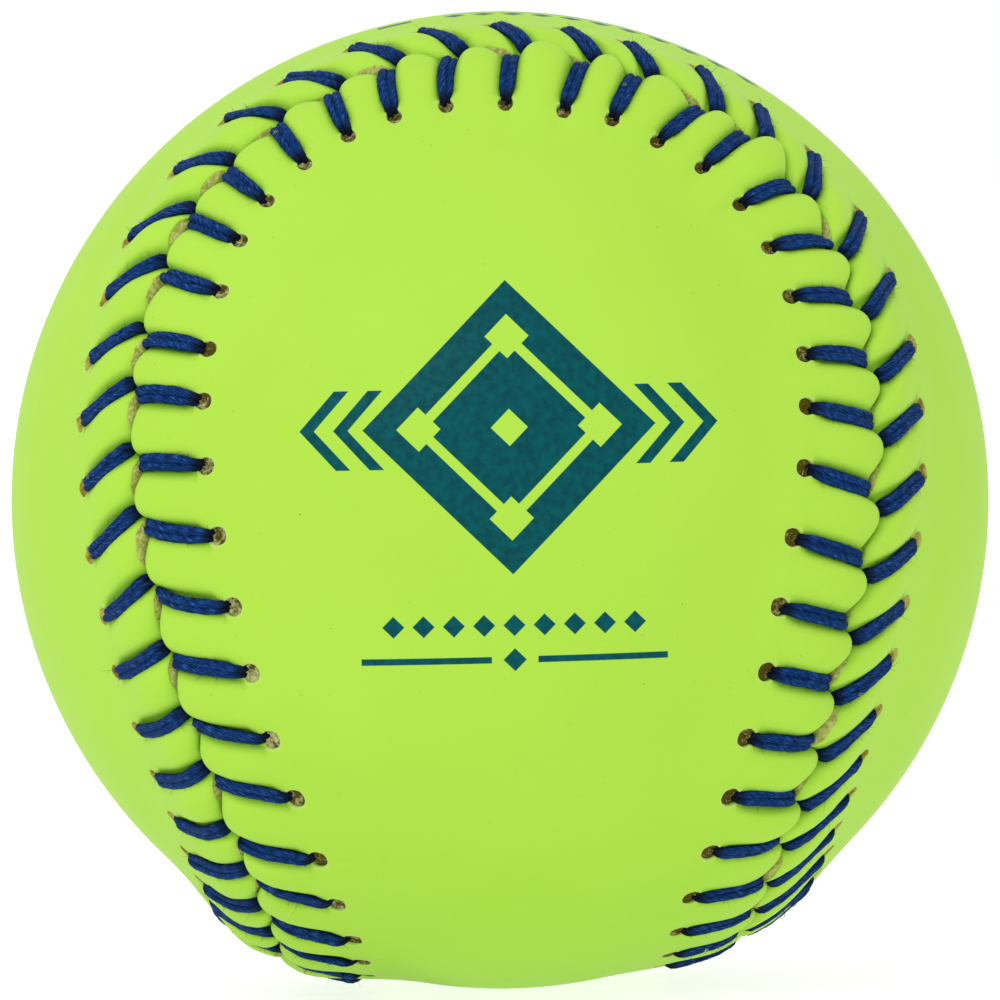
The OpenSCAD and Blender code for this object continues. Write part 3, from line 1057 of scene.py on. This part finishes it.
def arrow_heads(n, at, middle, pitch, first, count, halves, slope):
    """Arrow heads on both sides, which point away from the middle."""
    aside, above = away_from(n, at, middle)
    out = n.plus(aside, n.times(above, slope))
    across = n.math("ABSOLUTE", repeated(n, out, pitch, first, first + count - 1))
    return ink_shape(n, n.math("MAXIMUM", n.minus(across, halves[0]), n.minus(above, halves[1])))


def parts_of(n, vector):
    return n.add("ShaderNodeSeparateXYZ", {0: vector}).outputs


def front_print(n):
    """An infield diamond between arrow heads, over a row of small rhombi and two bars."""
    x, y, z = parts_of(n, n.place)
    at, middle = (x, z), (FIELD_X, FIELD_Z)
    field, outer, inner, plate = [rhombus(n, at, middle, reach) for reach in (12.6, 8.4, 7.2, 1.6)]
    mark = cut_out(n, field, cut_out(n, outer, inner))
    for dx, dz in ((0, BASES_OUT), (BASES_OUT, 0), (0, -BASES_OUT), (-BASES_OUT, 0)):
        mark = cut_out(n, mark, rhombus(n, at, (FIELD_X + dx, FIELD_Z + dz), reach=1.9))
    shapes = [
        arrow_heads(n, at, middle, pitch=2.9, first=5, count=2, halves=(0.62, 3.4), slope=0.9),
        rhombus_row(n, at, (FIELD_X, ROW_Z), pitch=2.6, reach=0.95, half_count=4),
        bar(n, at, (FIELD_X - BARS_OUT, BARS_Z), halves=(5.6, 0.28)),
        bar(n, at, (FIELD_X + BARS_OUT, BARS_Z), halves=(5.6, 0.28)),
        rhombus(n, at, (FIELD_X, BARS_Z), reach=1.0),
    ]
    mark = union(n, cut_out(n, mark, plate), *shapes)
    return n.times(mark, n.math("LESS_THAN", y, 0.0))


def side_print(n):
    """A row of small rhombi, a long bar and a short one across the waist on top."""
    x, y, z = parts_of(n, n.place)
    row = rhombus_row(n, (x, y), (10.0, -5.0), pitch=2.6, reach=1.1, half_count=5)
    long_bar = bar(n, (x, y), (10.0, -2.3), halves=(14.0, 0.6))
    short_bar = bar(n, (x, y), (-8.4, -4.8), halves=(1.5, 0.7))
    mark = union(n, row, long_bar, short_bar)
    return n.times(mark, n.math("GREATER_THAN", z, 0.0))


# The thread's blues, partly its fibres' own tones and partly painted shade between them and painted
# highlights on them, its fibres' lay, their number per mm across and along, and the black and
# strength of its painted shade
THREAD_BLUES = [(0.34, (0.001, 0.006, 0.020)), (0.47, (0.002, 0.023, 0.100)),
                (0.60, (0.005, 0.050, 0.215)), (0.76, (0.08, 0.19, 0.43))]
STRAND_GIRTH = 2.6
FIBRE_LAY = 0.35
FIBRES_ACROSS = 8.5
FIBRES_ALONG = 1.3
THREAD_SHADE_BLACK = (0.003, 0.004, 0.006)
THREAD_SHADE_SHARE = 0.94


def thread_material(name):
    """Twisted waxed fibre, noise stretched along the strand's own turn and length, with painted
    shade at its ends and on its flanks.
    """
    n = Nodes(name)
    uv = n.add("ShaderNodeUVMap", uv_map="Fibre").outputs["UV"]
    u, v, _ = parts_of(n, uv)
    skewed = n.plus(n.times(u, STRAND_GIRTH), n.times(v, FIBRE_LAY))
    place_on = {0: n.times(skewed, FIBRES_ACROSS), 1: n.times(v, FIBRES_ALONG)}
    spot = n.add("ShaderNodeCombineXYZ", place_on).outputs[0]
    fibre = n.noise(1.0, detail=3.0, roughness=0.6, vector=spot)
    # Painted shade: the thread goes almost black at its hole, in the seam and on its flanks
    painted_dark = n.times(n.attribute("dark"), THREAD_SHADE_SHARE)
    colour = n.mix(painted_dark, n.ramp(fibre, THREAD_BLUES), THREAD_SHADE_BLACK)
    n.surface(Base_Color=colour, Roughness=0.6, Specular_IOR_Level=0.05)
    n.surface(Normal=n.bump(fibre, strength=1.0, distance_m=0.00012))
    return n.material


def hair_material(name, colour):
    n = Nodes(name)
    dark = tuple(c * 0.6 for c in colour)
    light = tuple(min(1.0, c * 1.4) for c in colour)
    mottled = n.ramp(n.noise(0.8), [(0.35, dark), (0.65, light)])
    n.surface(Base_Color=mottled, Roughness=0.7, Specular_IOR_Level=0.2)
    return n.material


def felt_material(name, dark, light, per_mm=2.4, spread=(0.4, 0.62), drift=0.0, lean=0.0):
    """Tufts of two tones; drift darkens some places at random, and lean darkens each mm towards +X
    as painted shade.
    """
    n = Nodes(name)
    tuft = n.noise(per_mm, detail=4.0, roughness=0.7)
    slow = n.minus(n.noise(0.13, detail=1.0), 0.5)
    shade = n.plus(tuft, n.times(slow, drift))
    # Painted shade: the felt darkens towards +X
    shade = n.minus(shade, n.times(parts_of(n, n.place)[0], lean))
    colour = n.ramp(shade, [(spread[0], dark), (spread[1], light)])
    n.surface(Base_Color=colour, Roughness=0.95, Specular_IOR_Level=0.1)
    n.surface(Normal=n.bump(tuft, strength=1.0, distance_m=0.0002))
    return n.material


def mottled_material(name, dark, light, grain_per_mm, roughness):
    n = Nodes(name)
    mottle = n.noise(grain_per_mm, detail=4.0, roughness=0.6)
    colour = n.ramp(mottle, [(0.3, dark), (0.7, light)])
    n.surface(Base_Color=colour, Roughness=roughness, Specular_IOR_Level=0.3)
    n.surface(Normal=n.bump(mottle, strength=0.5, distance_m=0.0002))
    return n.material


# Pieces

cover_front_material = cover_material("cover_front", front_print)
cover_side_material = cover_material("cover_side", side_print)
thread_blue = thread_material("waxed_thread")
hair_blue = hair_material("thread_hair", (0.006, 0.032, 0.10))
felt_tan = felt_material("felt", (0.27, 0.30, 0.040), (0.52, 0.56, 0.17))
# The front holes' felt is darker partly from wax and glue and partly as painted shade deep in the
# holes; the side holes' felt is painted lighter, as lit on their walls
felt_in_hole = {
    FRONT: felt_material("felt_in_front_hole", (0.070, 0.055, 0.003), (0.44, 0.45, 0.19),
                         per_mm=1.4, spread=(0.51, 0.70), drift=0.35, lean=0.0018),
    SIDE: felt_material("felt_in_side_hole", (0.215, 0.165, 0.012), (0.42, 0.38, 0.075),
                        per_mm=1.2, drift=0.4),
}
hair_pale = hair_material("lint", (0.42, 0.52, 0.16))
hair_tan = hair_material("felt_fibre", (0.40, 0.38, 0.13))

for side, name, material, node in (
    (FRONT, "front_cover", cover_front_material, "front_panel_skin"),
    (SIDE, "side_cover", cover_side_material, "side_panel_skin"),
):
    points, faces, shades = panel_mesh(side, panel_rows(side))
    piece = make_object(name, points, faces, material, shades)
    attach(piece, "root")
    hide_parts(node)

for side, name, node in (
    (FRONT, "front_felt", "front_panel_backing"),
    (SIDE, "side_felt", "side_panel_backing"),
):
    points, faces, _ = panel_mesh(side, felt_sheet(side))
    piece = make_object(name, points, faces, felt_tan)
    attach(piece, "root")
    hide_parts(node)
    mounds = make_object(name + "_in_holes", *hole_felt(side), felt_in_hole[side])
    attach(mounds, "root")
    loose = felt_fibres(side, per_hole=9, per_edge=12)
    fibres = make_object(name + "_fibres", *loose, hair_tan)
    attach(fibres, "root")

for first_side, name, node in (
    (FRONT, "lacing_one", "thread_one"),
    (SIDE, "lacing_two", "thread_two"),
):
    points, faces, uvs, shades = thread_mesh(first_side)
    piece = make_object(name, points, faces, thread_blue, {"dark": shades}, uvs)
    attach(piece, "root")
    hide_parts(node)

for name, hairs, material in (
    ("lacing_fuzz", thread_hairs(per_strand=36), hair_blue),
    ("lacing_lint", lint_tufts(tufts=30, per_tuft=26), hair_pale),
):
    piece = make_object(name, *hairs, material)
    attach(piece, "root")

core_brown = mottled_material("moulded_core", (0.25, 0.16, 0.08), (0.46, 0.32, 0.18),
                              grain_per_mm=0.5, roughness=0.8)
cement_cream = mottled_material("dried_cement", (0.66, 0.60, 0.44), (0.86, 0.80, 0.62),
                                grain_per_mm=0.3, roughness=0.6)
for node, material in (("core", core_brown), ("cement_layer", cement_cream)):
    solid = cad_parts[node]
    solid.data.materials.clear()
    solid.data.materials.append(material)


# Camera, placed and turned as the seam in the photograph shows

CAMERA_DISTANCE = 20 * BALL_R
CAMERA_ELEVATION = 0.0321
CAMERA_AZIMUTH = -0.0153
CAMERA_ROLL = -0.0263
OUTLINE_PIXELS = 489.5
FRAME_PIXELS = 1000
SENSOR = 36.0


def make_camera():
    """Looks at the ball's middle and frames its outline as the photograph does."""
    data = bpy.data.cameras.new("camera")
    tangent = math.sqrt((CAMERA_DISTANCE / BALL_R) ** 2 - 1)
    data.sensor_width = SENSOR
    data.lens = OUTLINE_PIXELS * tangent * SENSOR / FRAME_PIXELS
    data.clip_start, data.clip_end = 0.05, 100.0
    camera = bpy.data.objects.new("camera", data)
    turn = Matrix.Rotation(CAMERA_AZIMUTH, 4, "Z")
    turn = turn @ Matrix.Rotation(math.pi / 2 - CAMERA_ELEVATION, 4, "X")
    turn = turn @ Matrix.Rotation(CAMERA_ROLL, 4, "Z")
    camera.matrix_world = turn @ Matrix.Translation((0, 0, CAMERA_DISTANCE * MM))
    bpy.context.scene.collection.objects.link(camera)
    bpy.context.scene.camera = camera


make_camera()


# Floor and light

FLOOR_REACH_M = 40.0
FLOOR_GLOW = 0.76


def make_floor():
    """A wide pale floor, bright enough to fade into the white surround."""
    r, z = FLOOR_REACH_M, float(cad_low.z)
    mesh = bpy.data.meshes.new("floor")
    corners = [(-r, -r, z), (r, -r, z), (r, r, z), (-r, r, z)]
    mesh.from_pydata(corners, [], [(0, 1, 2, 3)])
    n = Nodes("floor")
    pale = n.ramp(n.noise(0.003), [(0.3, (0.38, 0.38, 0.38)), (0.7, (0.40, 0.40, 0.40))])
    n.surface(Base_Color=pale, Roughness=0.9, Specular_IOR_Level=0.1)
    n.surface(Emission_Color=(1, 1, 1), Emission_Strength=FLOOR_GLOW)
    mesh.materials.append(n.material)
    floor = bpy.data.objects.new("floor", mesh)
    bpy.context.scene.collection.objects.link(floor)


def make_light(name, place_m, size_m, watts, colour):
    """A soft round light that faces the ball's middle."""
    data = bpy.data.lights.new(name, "AREA")
    data.shape = "DISK"
    data.size = size_m
    data.energy = watts
    data.color = colour
    light = bpy.data.objects.new(name, data)
    light.location = place_m
    light.rotation_euler = (-Vector(place_m)).to_track_quat("-Z", "Y").to_euler()
    bpy.context.scene.collection.objects.link(light)


make_floor()
make_light("key", (-0.55, -0.9, 0.85), size_m=0.7, watts=4.6, colour=(1.0, 0.93, 1.15))

world = bpy.data.worlds.new("studio")
bpy.context.scene.world = world
world.use_nodes = True
background = world.node_tree.nodes["Background"]
background.inputs["Color"].default_value = (1.0, 1.0, 1.0, 1.0)
background.inputs["Strength"].default_value = 1.0
bpy.context.scene.view_settings.view_transform = "Standard"
